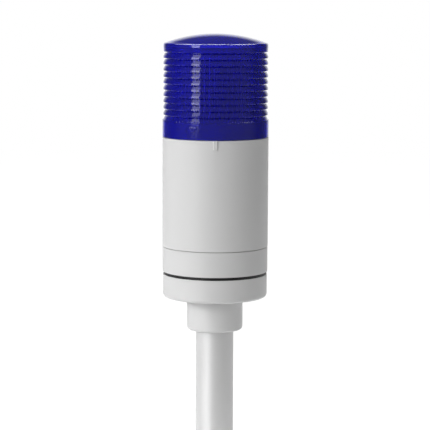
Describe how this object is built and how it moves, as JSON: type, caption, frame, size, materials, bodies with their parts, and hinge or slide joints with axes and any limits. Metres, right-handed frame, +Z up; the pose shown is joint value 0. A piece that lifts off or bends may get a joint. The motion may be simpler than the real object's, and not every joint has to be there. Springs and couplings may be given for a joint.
{
  "type": "stack light",
  "caption": "Stack light: a round signal lamp with a blue ring-finned lens that twists off, a plain grey housing and a base held on a straight tube.",
  "frame": {"origin": "centre of the pole's lower end", "axes": "+Z up along the pole's axis, -Y towards the front, where the index rib is"},
  "size_m": [0.0559, 0.0564, 0.2616],
  "materials": {
    "blue_lens": "clear gloss",
    "housing_plastic": "fine satin",
    "base_plastic": "fine satin",
    "gasket_rubber": "matte",
    "pole_aluminium": "satin anodised",
    "white_plastic": "satin",
    "board_laminate": "satin",
    "chip_resin": "gloss",
    "pin_brass": "bright",
    "black_plastic": "satin",
    "capacitor_sleeve": "gloss",
    "terminal_plastic": "satin",
    "screw_steel": "zinc plated"
  },
  "bodies": {
    "tower": {"pole": "pole_aluminium", "pole_base": "base_plastic", "pole_set_screw": "screw_steel", "gasket": "gasket_rubber", "lower_housing": "housing_plastic", "base_screws": "screw_steel", "housing": "housing_plastic", "led_carrier": "white_plastic", "led_board_1": "white_plastic", "led_board_2": "white_plastic", "led_board_3": "white_plastic", "led_board_4": "white_plastic", "led_chips_1": "chip_resin", "led_chips_2": "chip_resin", "led_chips_3": "chip_resin", "led_chips_4": "chip_resin", "plug_pins": "pin_brass", "pin_socket": "black_plastic", "main_board": "board_laminate", "input_capacitor": "capacitor_sleeve", "filter_capacitor": "capacitor_sleeve", "choke_coil": "black_plastic", "driver_chip": "black_plastic", "terminal_block": "terminal_plastic", "terminal_screws": "screw_steel"},
    "lens": {"lens_globe": "blue_lens"}
  },
  "joints": [
    {"name": "lens_twist", "type": "hinge", "parent": "tower", "child": "lens", "pos_m": [0, 0, 0.2068], "axis": [0, 0, 1], "range_deg": [0, 18]}
  ]
}
